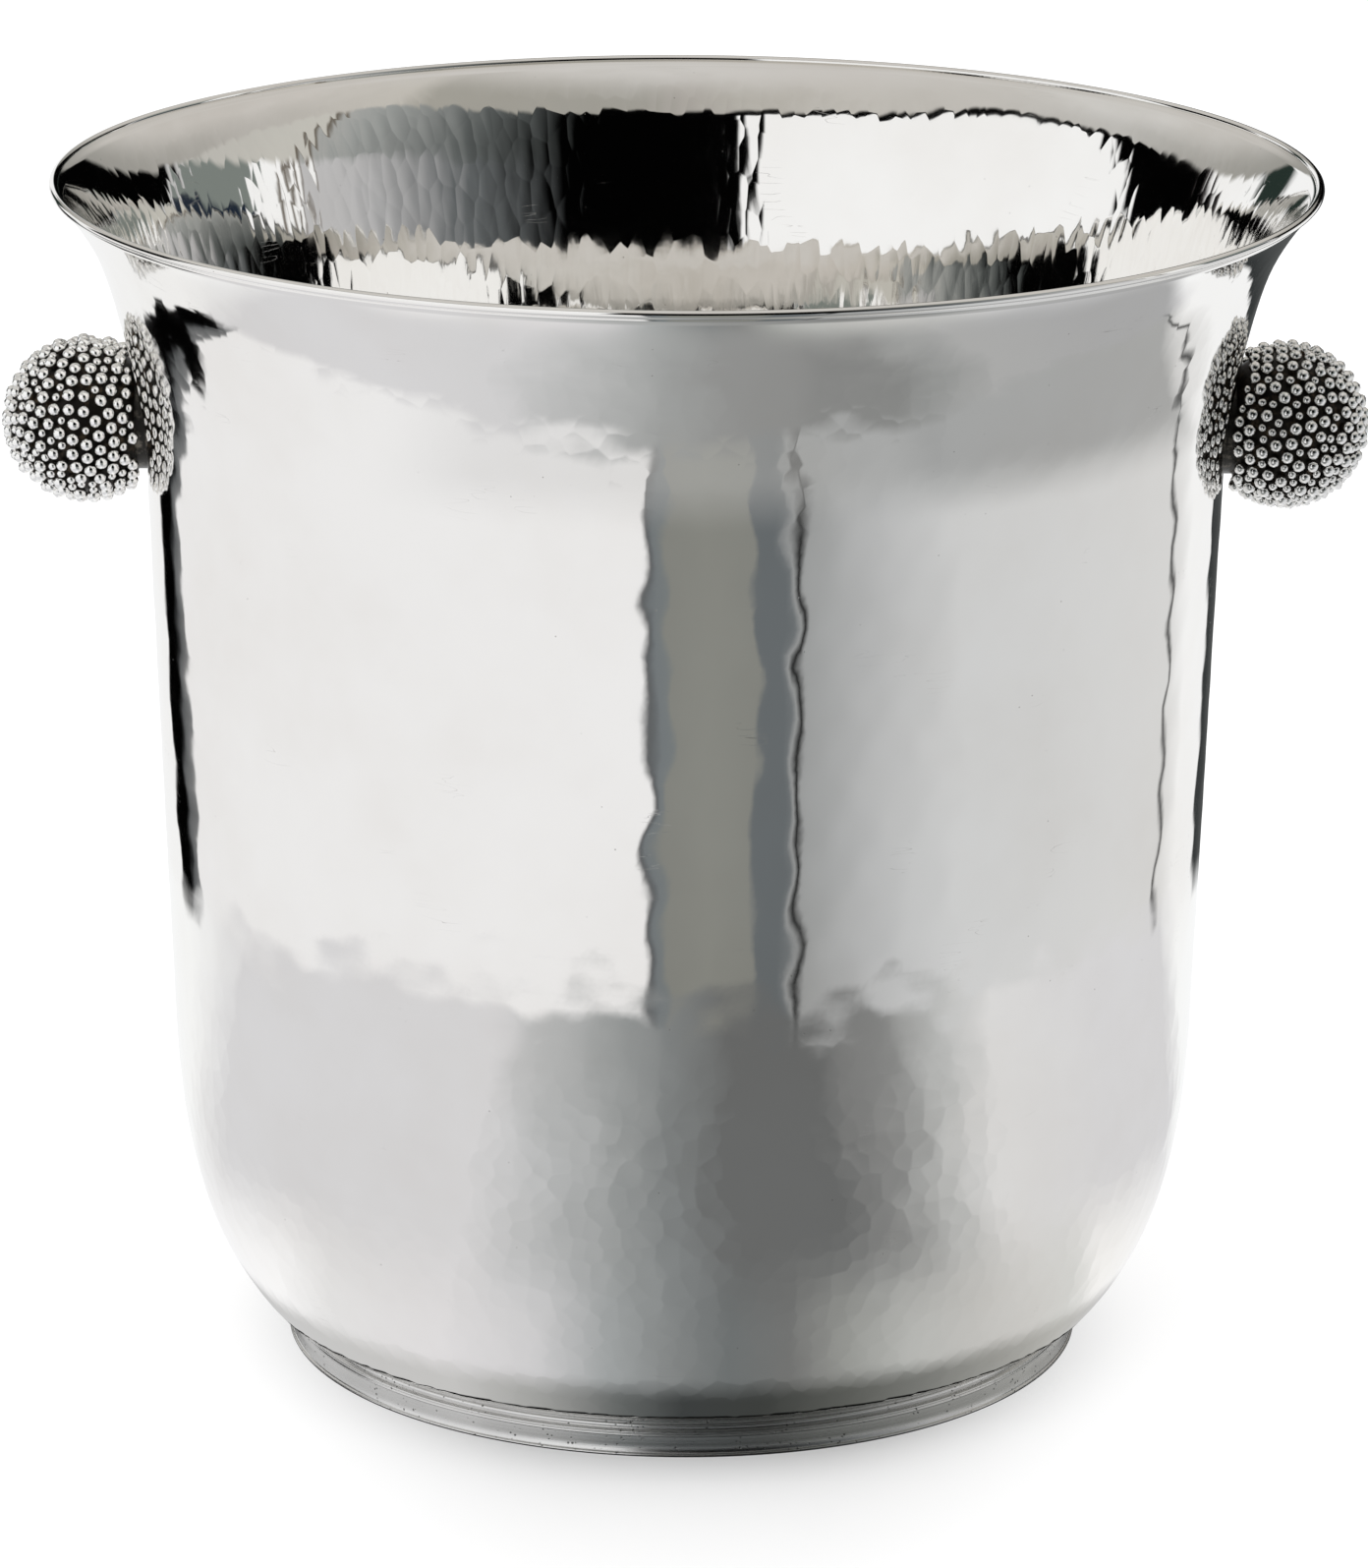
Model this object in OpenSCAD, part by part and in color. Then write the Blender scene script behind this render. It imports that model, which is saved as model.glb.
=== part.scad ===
// Champagne bucket: raised and planished silver bowl with a flared lip, a rim wire,
// a moulded foot ring and two hollow ball knobs covered with granulation.
// Millimetres, +Z up. The foot ring stands on z = 0 and the knobs lie on the X axis.

/* [Bucket] */
// Diameter over the rim wire
rim_d = 230; // [200:1:260]
// Height from the table to the top of the rim wire
bucket_h = 219.5; // [190:0.5:250]
// Thickness of the raised sheet
sheet_t = 1.2; // [0.8:0.1:2]
// Height of the underside of the flat bottom
seat_z = 7.6; // [5:0.1:12]
// Outer diameter where the bottom corner ends and the bowl begins
corner_d = 159.5; // [140:0.5:175]
// Height of that place
corner_z = 10.2; // [9:0.1:16]
// Angle of the surface above the table there
corner_a = 50; // [30:1:70]
// Outer diameter at the foot of the straight wall
wall_low_d = 188.9; // [170:0.1:205]
// Height of the foot of the straight wall
wall_low_z = 61.9; // [40:0.1:90]
// Outer diameter at the top of the straight wall
wall_top_d = 196.2; // [175:0.1:215]
// Height of the top of the straight wall
wall_top_z = 165.7; // [120:0.1:180]
// Outer diameter in the flare, where the lip starts to turn out
throat_d = 213.8; // [190:0.1:225]
// Height of that place
throat_z = 207.5; // [190:0.1:214]
// Lean of the flare from the vertical at the throat
throat_a = 25.3; // [10:0.1:40]
// Lean of the lip from the vertical at the rim
lip_a = 46.5; // [25:0.5:70]

/* [Rim wire] */
// Diameter of the wire soldered round the edge
wire_d = 1.6; // [1.2:0.1:4]

/* [Foot ring] */
// Diameter of the foot ring on the table
foot_d = 148; // [120:0.5:160]
// Inner diameter of the foot ring on the table
foot_inner_d = 141.2; // [110:0.1:150]
// Height of the rounded edge at the base
foot_edge_h = 0.6; // [0.2:0.1:1.5]
// Height at which the two fine ridges start
foot_ridge_z = 3.6; // [2:0.1:5]
// Diameter of the top of the foot ring, under the bowl
foot_top_d = 145.6; // [120:0.1:158]

/* [Knobs] */
// Distance of each knob's centre from the bucket's axis
knob_x = 109.3; // [100:0.1:125]
// Height of each knob's centre
knob_z = 173.3; // [120:0.1:190]
// Diameter of the smooth ball under the granules
core_d = 26.8; // [16:0.1:34]
// Thickness of the ball's sheet
core_t = 0.8; // [0.5:0.1:1.5]
// Distance from the ball's centre to its flat mouth
mouth_x = 9.3; // [6:0.1:11]
// Length of the lap where the two halves are soldered
lap = 1; // [0.5:0.1:2]

/* [Granules] */
// Diameter of the larger granules
large_d = 2.3; // [1.4:0.1:3]
// Diameter of the smaller granules
small_d = 1.6; // [0.8:0.1:2]
// Granules that would cover the whole ball
granules = 370; // [100:10:500]
// One granule in this many is a small one
small_every = 3; // [2:1:6]
// Least gap between a granule and the wall
granule_gap = 0.15; // [0.05:0.05:1]

/* [Fixing] */
// Diameter of the stud
stud_d = 3; // [2:0.5:4]
// Diameter of the hole through the wall
wall_hole_d = 3.4; // [2.2:0.1:5]
// Diameter of the saddle washer inside
washer_d = 10; // [7:0.5:14]
// Width of the cap nut across its flats
nut_af = 5.5; // [4:0.1:8]
// Height of the cap nut with its dome
nut_h = 5.4; // [4:0.1:8]

/* [Hidden] */
$fn = 96;
slack = 0.02;
wire_r = wire_d / 2;
core_r = core_d / 2;
stud_r = stud_d / 2;
wire_x = rim_d / 2 - wire_r;
wire_z = bucket_h - wire_r;
golden = 180 * (3 - sqrt(5));
corner_r = (corner_z - seat_z) / (1 - cos(corner_a));
corner_x = corner_d / 2 - corner_r * sin(corner_a);
wall_dir = unit([(wall_top_d - wall_low_d) / 2, wall_top_z - wall_low_z]);
throat_dir = [sin(throat_a), cos(throat_a)];
lip_dir = [sin(lip_a), cos(lip_a)];
lip_end = [wire_x, wire_z] - sheet_t / 2 * inward(lip_dir);
wall_low = [wall_low_d / 2, wall_low_z];
wall_top = [wall_top_d / 2, wall_top_z];
throat = [throat_d / 2, throat_z];
bowl_start = [corner_d / 2, corner_z];
corner_dir = [cos(corner_a), sin(corner_a)];
bowl = [bowl_start, bowl_start + 15.2 * corner_dir, wall_low - 24.4 * wall_dir, wall_low];
flare = [wall_top, wall_top + 14 * wall_dir, throat - 7.7 * throat_dir, throat];
lip = [throat, throat + 1.5 * throat_dir, lip_end - 5.5 * lip_dir, lip_end];

// Unit vector along v
function unit(v) = v / norm(v);

// Direction into the bucket, seen from a surface that runs up along v
function inward(v) = [-v[1], v[0]];

// Point on the curve with handles c at t from 0 to 1
function on_curve(c, t) =
    let (s = 1 - t)
    c[0] * s * s * s + c[1] * 3 * t * s * s + c[2] * 3 * t * t * s + c[3] * t * t * t;

// Direction of that curve at t
function along(c, t) =
    let (s = 1 - t)
    unit((c[1] - c[0]) * s * s + (c[2] - c[1]) * 2 * t * s + (c[3] - c[2]) * t * t);

// The curve in n steps, moved into the bucket by off
function curve(c, n, off, from = 0) =
    [for (i = [from:n]) on_curve(c, i / n) + off * inward(along(c, i / n))];

// Arc about [x, z] with radius r from angle a to angle b in n steps
function arc(x, z, r, a, b, n) =
    [for (i = [0:n]) let (t = a + (b - a) * i / n) [x + r * cos(t), z + r * sin(t)]];

// The bowl's profile from the bottom corner to the lip, moved into the bucket by off
function profile(off) = concat(
    arc(corner_x, seat_z + corner_r, corner_r - off, -90, corner_a - 90, 6),
    curve(bowl, 12, off, 1),
    curve(flare, 8, off),
    curve(lip, 6, off, 1)
);

// Puts a knob part on the +X side, its own +Z pointing away from the bucket
module at_knob() {
    translate([knob_x, 0, knob_z]) rotate([0, 90, 0]) children();
}

// The raised bowl without its holes
module bowl_solid() {
    rotate_extrude()
        polygon(concat([[0, seat_z]], profile(0), reverse(profile(sheet_t)), [[0, seat_z + sheet_t]]));
}

// Everything inside the bowl's surface at the height of the knobs, off in from the outside
module inside_of(off) {
    rotate_extrude($fn = 720)
        polygon(concat([[0, seat_z + off]], curve(flare, 8, off), [[0, throat_z]]));
}

// The points of list v from last to first
function reverse(v) = [for (i = [len(v) - 1:-1:0]) v[i]];

// Raised and planished bowl with its flared lip and two stud holes
module bucket_shell() {
    color([0.86, 0.86, 0.85])
        difference() {
            bowl_solid();
            rotate_extrude() translate([wire_x, wire_z]) circle(r = wire_r);
            translate([-rim_d, 0, knob_z]) rotate([0, 90, 0]) cylinder(h = 2 * rim_d, r = wall_hole_d / 2);
        }
}

// Wire soldered round the edge of the lip
module rim_wire() {
    color([0.9, 0.9, 0.89])
        rotate_extrude() translate([wire_x, wire_z]) circle(r = wire_r);
}

// Moulded foot ring soldered under the flat bottom
module foot_ring() {
    r = foot_d / 2;
    t = foot_top_d / 2;
    e = foot_edge_h / 2;
    color([0.78, 0.78, 0.77])
        rotate_extrude()
            polygon(concat(
                [[foot_inner_d / 2, 0]],
                arc(r - e, e, e, -90, 90, 6),
                [[r - 0.5, foot_edge_h + 0.2]],
                [[r - 0.6, foot_ridge_z]],
                arc(r - 0.75, foot_ridge_z + 0.25, 0.25, -60, 60, 4),
                arc(r - 0.8, foot_ridge_z + 0.75, 0.25, -60, 60, 4),
                [[r - 0.85, foot_ridge_z + 1.1]],
                arc(t - 0.6, foot_ridge_z + 1.7, 0.6, -30, 80, 5),
                arc(t, foot_ridge_z + 3.05, 0.75, 260, 140, 6),
                [[t, seat_z]],
                [[t - 2.6, seat_z]]
            ));
}

// Outer half of the hollow ball, rebated at its seam
module knob_core_outer() {
    color([0.22, 0.2, 0.18])
        at_knob()
            difference() {
                sphere(r = core_r);
                sphere(r = core_r - core_t);
                translate([0, 0, -core_d]) cylinder(h = core_d, r = core_d);
                translate([0, 0, -1]) cylinder(h = lap + 1 + slack, r = core_r - core_t / 2);
            }
}

// Inner half of the hollow ball, with the lap at its seam and its mouth at the wall
module knob_core_inner() {
    color([0.24, 0.22, 0.2])
        at_knob() {
            difference() {
                sphere(r = core_r);
                sphere(r = core_r - core_t);
                cylinder(h = core_d, r = core_d);
                translate([0, 0, -mouth_x - core_d]) cylinder(h = core_d, r = core_d);
            }
            difference() {
                translate([0, 0, -0.5]) cylinder(h = lap + 0.5, r = core_r - core_t / 2 - slack);
                translate([0, 0, -1]) cylinder(h = lap + 2, r = core_r - core_t);
            }
        }
}

// Turned collar between ball and wall: a plug in the mouth, a flange and a saddle
module knob_collar() {
    plug_r = sqrt(pow(core_r - core_t, 2) - pow(mouth_x, 2)) - slack;
    color([0.34, 0.32, 0.3])
        difference() {
            at_knob() {
                translate([0, 0, -mouth_x]) cylinder(h = 1.4, r1 = plug_r, r2 = plug_r - 0.4);
                translate([0, 0, -mouth_x - 3]) cylinder(h = 3, r = plug_r + 0.6);
            }
            inside_of(0);
            at_knob() translate([0, 0, -mouth_x - 5]) cylinder(h = 10, r = stud_r + slack);
        }
}

// Stud brazed into the collar, through the wall and into the cap nut
module knob_stud() {
    color([0.6, 0.6, 0.6])
        at_knob() {
            translate([0, 0, -mouth_x - 6.4]) cylinder(h = 7.8, r = stud_r);
            translate([0, 0, -mouth_x - 6.8]) cylinder(h = 0.4, r1 = stud_r - 0.4, r2 = stud_r);
            translate([0, 0, -mouth_x + 1.4]) cylinder(h = 1, r = stud_r + 1.2);
        }
}

// Saddle washer against the inside of the wall
module knob_washer() {
    color([0.8, 0.8, 0.79])
        difference() {
            intersection() {
                at_knob() translate([0, 0, -mouth_x - 3.4]) cylinder(h = 6, r = washer_d / 2);
                inside_of(sheet_t);
            }
            at_knob() translate([0, 0, -mouth_x - 6]) cylinder(h = 8, r = wall_hole_d / 2);
        }
}

// Hexagonal cap nut with a domed end and a blind hole
module knob_nut() {
    hex_h = 2.6;
    dome_r = nut_af / 2 - 0.2;
    color([0.84, 0.84, 0.83])
        at_knob()
            translate([0, 0, -mouth_x - 3.4])
                mirror([0, 0, 1])
                    difference() {
                        union() {
                            cylinder(h = hex_h, r = nut_af / 2 / cos(30), $fn = 6);
                            cylinder(h = nut_h - dome_r, r = dome_r);
                            translate([0, 0, nut_h - dome_r]) sphere(r = dome_r);
                        }
                        translate([0, 0, -1]) cylinder(h = 4.8, r = stud_r + slack);
                    }
}

// Radius of the bucket's wall at height z, near the knobs
function wall_r(z) = lookup(z, [for (p = curve(flare, 24, 0)) [p[1], p[0]]]);

// Granules of diameter d, tangent to the ball and clear of the wall: the small ones if small is true
module granulation(d, small) {
    ring = core_r + d / 2;
    at_knob()
        for (i = [0:granules - 1])
            let (
                u = 1 - (2 * i + 1) / granules,
                s = sqrt(1 - u * u),
                spot = ring * [s * cos(i * golden), s * sin(i * golden), u],
                gap = norm([knob_x + spot[2], spot[1]]) - wall_r(knob_z - spot[0]) - d / 2
            )
                if ((i % small_every == small_every - 1) == small && spot[2] > -mouth_x && gap > granule_gap)
                    translate(spot) sphere(r = d / 2);
}

// Larger granules
module knob_granules_large() {
    color([0.9, 0.9, 0.88]) granulation(large_d, false);
}

// Smaller granules
module knob_granules_small() {
    color([0.88, 0.88, 0.86]) granulation(small_d, true);
}

// The same part on the -X side
module other_side() {
    mirror([1, 0, 0]) children();
}

bucket_shell();
rim_wire();
foot_ring();
knob_core_outer();  // right_core_outer
knob_core_inner();  // right_core_inner
knob_collar();  // right_collar
knob_stud();  // right_stud
knob_washer();  // right_washer
knob_nut();  // right_nut
knob_granules_large();  // right_granules_large
knob_granules_small();  // right_granules_small
other_side() knob_core_outer();  // left_core_outer
other_side() knob_core_inner();  // left_core_inner
other_side() knob_collar();  // left_collar
other_side() knob_stud();  // left_stud
other_side() knob_washer();  // left_washer
other_side() knob_nut();  // left_nut
other_side() knob_granules_large();  // left_granules_large
other_side() knob_granules_small();  // left_granules_small
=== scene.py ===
import logging
import math
from collections.abc import Sequence
from dataclasses import dataclass, field
from enum import Enum
from functools import partialmethod

import bpy
import numpy as np
from mathutils import Matrix, Vector


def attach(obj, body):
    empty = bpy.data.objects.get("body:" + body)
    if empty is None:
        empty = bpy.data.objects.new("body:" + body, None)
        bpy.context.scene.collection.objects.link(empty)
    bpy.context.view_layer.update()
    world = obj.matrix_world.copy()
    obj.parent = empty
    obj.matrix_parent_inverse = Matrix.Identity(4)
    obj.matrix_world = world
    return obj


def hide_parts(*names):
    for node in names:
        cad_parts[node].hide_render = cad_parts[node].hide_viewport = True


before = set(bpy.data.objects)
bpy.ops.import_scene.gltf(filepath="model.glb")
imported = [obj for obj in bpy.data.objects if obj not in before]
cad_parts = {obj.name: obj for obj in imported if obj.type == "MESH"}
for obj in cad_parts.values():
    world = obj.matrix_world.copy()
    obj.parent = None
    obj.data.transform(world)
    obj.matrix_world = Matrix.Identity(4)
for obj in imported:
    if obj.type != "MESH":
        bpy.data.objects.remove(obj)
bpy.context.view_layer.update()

LOG = logging.getLogger("bucket")
MM = 0.001
OUTWARD = "outward"

Point = tuple[float, float]
Colour = tuple[float, float, float]
Tone = Colour | float
Stops = Sequence[tuple[float, Tone]]


def rgba(tone: Tone) -> tuple[float, float, float, float]:
    """Adds an alpha of 1.

    Args:
        tone: a colour, or a grey given as one number.

    Returns:
        Red, green, blue and alpha.
    """
    return (tone, tone, tone, 1.0) if isinstance(tone, float) else (*tone, 1.0)


# ---------------------------------------------------------------- shader maths


class Sock:
    """An output socket that can be used in Python arithmetic."""

    def __init__(self, shader: "Shader", socket: bpy.types.NodeSocket) -> None:
        """Wraps a socket.

        Args:
            shader: the tree builder that adds the Math nodes.
            socket: the output socket itself.
        """
        self.shader = shader
        self.socket = socket

    def maths(self, operation: str, *others: "Sock | float") -> "Sock":
        """Adds one Math node with this socket as its first value.

        Args:
            operation: the Math node's operation.
            others: its second and third values.

        Returns:
            The node's result.
        """
        values = dict(enumerate((self, *others)))
        return self.shader.out("ShaderNodeMath", 0, {"operation": operation}, values)

    __add__ = __radd__ = partialmethod(maths, "ADD")
    __mul__ = __rmul__ = partialmethod(maths, "MULTIPLY")
    __sub__ = partialmethod(maths, "SUBTRACT")
    __truediv__ = partialmethod(maths, "DIVIDE")
    __pow__ = partialmethod(maths, "POWER")

    def __rsub__(self, other: float) -> "Sock":
        """Takes this from a number.

        Args:
            other: the number.

        Returns:
            The rest.
        """
        return (self * -1.0) + other

    def step(self, low: float, high: float) -> "Sock":
        """A smooth step from 0 at low to 1 at high, or down again if high is the smaller.

        Args:
            low: the value that gives 0.
            high: the value that gives 1.

        Returns:
            The stepped value.
        """
        flip = low > high
        ends = (high, low) if flip else (low, high)
        values = {"Value": self, "From Min": ends[0], "From Max": ends[1]}
        made = self.shader.out("ShaderNodeMapRange", 0, {"interpolation_type": "SMOOTHSTEP"}, values)
        return 1.0 - made if flip else made


class Shader:
    """Builds one node tree."""

    def __init__(self, tree: bpy.types.NodeTree) -> None:
        """Starts on an empty tree.

        Args:
            tree: the tree to fill.
        """
        tree.nodes.clear()
        self.tree = tree

    @classmethod
    def material(cls, name: str) -> tuple[bpy.types.Material, "Shader"]:
        """Starts a material.

        Args:
            name: its name.

        Returns:
            The material and the builder of its tree.
        """
        made = bpy.data.materials.new(name)
        made.use_nodes = True
        return made, cls(made.node_tree)

    def node(
        self,
        kind: str,
        settings: dict[str, object] | None = None,
        sockets: dict[int | str, object] | None = None,
    ) -> bpy.types.Node:
        """Adds any node.

        Args:
            kind: the node's type.
            settings: its properties, set first.
            sockets: numbers, colours or Socks for its inputs, by name or index.

        Returns:
            The new node.
        """
        made = self.tree.nodes.new(kind)
        for key, value in (settings or {}).items():
            setattr(made, key, value)
        for key, value in (sockets or {}).items():
            if isinstance(value, Sock):
                self.tree.links.new(value.socket, made.inputs[key])
            else:
                made.inputs[key].default_value = value
        return made

    def out(
        self,
        kind: str,
        output: int | str,
        settings: dict[str, object] | None = None,
        sockets: dict[int | str, object] | None = None,
    ) -> Sock:
        """Adds any node and gives one of its outputs.

        Args:
            kind: the node's type.
            output: the output's name or index.
            settings: as for node.
            sockets: as for node.

        Returns:
            The output as a Sock.
        """
        return Sock(self, self.node(kind, settings, sockets).outputs[output])

    def mix(self, share: Sock | float, low: Sock | Tone, high: Sock | Tone) -> Sock:
        """Mixes two colours.

        Args:
            share: how much of high there is.
            low: the colour at 0.
            high: the colour at 1.

        Returns:
            The mixed colour.
        """
        ends = [c if isinstance(c, Sock) else rgba(c) for c in (low, high)]
        return self.out("ShaderNodeMix", 2, {"data_type": "RGBA"}, {0: share, 6: ends[0], 7: ends[1]})

    def ring(self, stops: Stops, turn: Sock) -> Sock:
        """Reads a colour ramp that runs round the bucket.

        Args:
            stops: pairs of an angle and its tone; degrees from the front, right positive.
            turn: where to read it, 0 to 1.

        Returns:
            The colour there.
        """
        made = self.node("ShaderNodeValToRGB", None, {0: turn})
        elements = made.color_ramp.elements
        elements.remove(elements[1])
        for i, (angle, tone) in enumerate(stops):
            position = angle / 360 + 0.5
            stop = elements.new(position) if i else elements[0]
            stop.position, stop.color = position, rgba(tone)
        return Sock(self, made.outputs[0])

    def noise(self, where: Sock, scale: float, detail: float = 2.0, rough: float = 0.5) -> Sock:
        """Noise from 0 to 1.

        Args:
            where: the coordinates.
            scale: features per metre.
            detail: the number of octaves.
            rough: how strong the fine octaves are.

        Returns:
            The noise value.
        """
        values = {"Vector": where, "Scale": scale, "Detail": detail, "Roughness": rough}
        return self.out("ShaderNodeTexNoise", "Fac", None, values)

    def cells(self, where: Sock, scale: float, loose: float = 1.0, blend: float = 0.0) -> Sock:
        """A cell pattern.

        Args:
            where: the coordinates.
            scale: cells per metre.
            loose: how irregular the cells are, 0 to 1.
            blend: how softly the cells meet, or 0 for sharp edges.

        Returns:
            The distance from the nearest cell's middle.
        """
        values = {"Vector": where, "Scale": scale, "Randomness": loose}
        if blend:
            values["Smoothness"] = blend
        feature = "SMOOTH_F1" if blend else "F1"
        return self.out("ShaderNodeTexVoronoi", "Distance", {"feature": feature}, values)

    def place(self, scale: Sequence[float] = (1, 1, 1), turn: Sequence[float] = (0, 0, 0)) -> Sock:
        """Object coordinates, stretched and turned.

        Args:
            scale: the stretch along X, Y and Z.
            turn: the turn about X, Y and Z in radians.

        Returns:
            The coordinates.
        """
        where = self.out("ShaderNodeTexCoord", "Object")
        if tuple(scale) == (1, 1, 1) and tuple(turn) == (0, 0, 0):
            return where
        values = {"Vector": where, "Scale": tuple(scale), "Rotation": tuple(turn)}
        return self.out("ShaderNodeMapping", 0, None, values)

    def around(self) -> tuple[Sock, Sock, Sock]:
        """The place round the Z axis.

        Returns:
            The turn, from 0 to 1 and 0.5 in front, the distance from the axis, and X.
        """
        x, y, _ = self.axes(self.place())
        return self.turn(x, y), (x * x + y * y).maths("SQRT"), x

    @staticmethod
    def turn(x: Sock, y: Sock) -> Sock:
        """The turn round the Z axis of a place or a direction.

        Args:
            x: its X.
            y: its Y.

        Returns:
            The turn, from 0 to 1 and 0.5 in front.
        """
        return x.maths("ARCTAN2", y * -1.0) / (2 * math.pi) + 0.5

    def axes(self, where: Sock) -> tuple[Sock, Sock, Sock]:
        """Splits a vector.

        Args:
            where: the vector.

        Returns:
            Its X, Y and Z.
        """
        split = self.node("ShaderNodeSeparateXYZ", None, {0: where})
        return tuple(Sock(self, split.outputs[i]) for i in range(3))

    def bump(self, height: Sock, depth: float, below: Sock | None = None) -> Sock:
        """A bump.

        Args:
            height: the height, about 0 to 1.
            depth: what a height of 1 stands for, in metres.
            below: the normal that it adds to.

        Returns:
            The bumped normal.
        """
        values = {"Height": height, "Distance": depth, "Strength": 1.0}
        if below is not None:
            values["Normal"] = below
        return self.out("ShaderNodeBump", 0, None, values)

    def outward(self) -> Sock:
        """Reads the piece's own attribute.

        Returns:
            1 on its outer skin and 0 on its inner one.
        """
        return self.out("ShaderNodeAttribute", "Fac", {"attribute_name": OUTWARD})

    def glow(self, tone: Sock | Tone, strength: float = 1.0) -> Sock:
        """A surface that shines by itself.

        Args:
            tone: its colour.
            strength: how brightly it shines.

        Returns:
            The surface.
        """
        colour = tone if isinstance(tone, Sock) else rgba(tone)
        return self.out("ShaderNodeEmission", 0, None, {"Color": colour, "Strength": strength})

    def clear(self) -> Sock:
        """A clear surface.

        Returns:
            The surface.
        """
        return self.out("ShaderNodeBsdfTransparent", 0)

    def blend(self, share: Sock | float, first: Sock, second: Sock) -> Sock:
        """One surface that changes into another.

        Args:
            share: how much of second there is.
            first: the surface at 0.
            second: the surface at 1.

        Returns:
            The blended surface.
        """
        return self.out("ShaderNodeMixShader", 0, None, {0: share, 1: first, 2: second})

    def metal(self, colour: Sock, metallic: float, roughness: Sock, normal: Sock) -> Sock:
        """A metal surface.

        Args:
            colour: its colour.
            metallic: how metallic it is, 0 to 1.
            roughness: its roughness.
            normal: its normal.

        Returns:
            The surface.
        """
        values = {"Base Color": colour, "Metallic": metallic, "Roughness": roughness, "Normal": normal}
        return self.out("ShaderNodeBsdfPrincipled", 0, None, values)

    def finish(self, surface: Sock) -> None:
        """Ends the material's tree.

        Args:
            surface: the surface that the material shows.
        """
        self.node("ShaderNodeOutputMaterial", None, {"Surface": surface})


# -------------------------------------------------------------------- finishes


@dataclass
class Coat:
    """A metal surface while it is built up."""

    sh: Shader
    colour: Sock
    roughness: Sock
    normal: Sock

    def bump(self, height: Sock, depth: float) -> None:
        """Adds a bump.

        Args:
            height: the height, about 0 to 1.
            depth: what a height of 1 stands for, in metres.
        """
        self.normal = self.sh.bump(height, depth, self.normal)

    def stain(self, share: Sock, colour: Colour) -> None:
        """Colours a part of it.

        Args:
            share: how much of the new colour there is.
            colour: the new colour.
        """
        self.colour = self.sh.mix(share, self.colour, colour)


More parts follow.
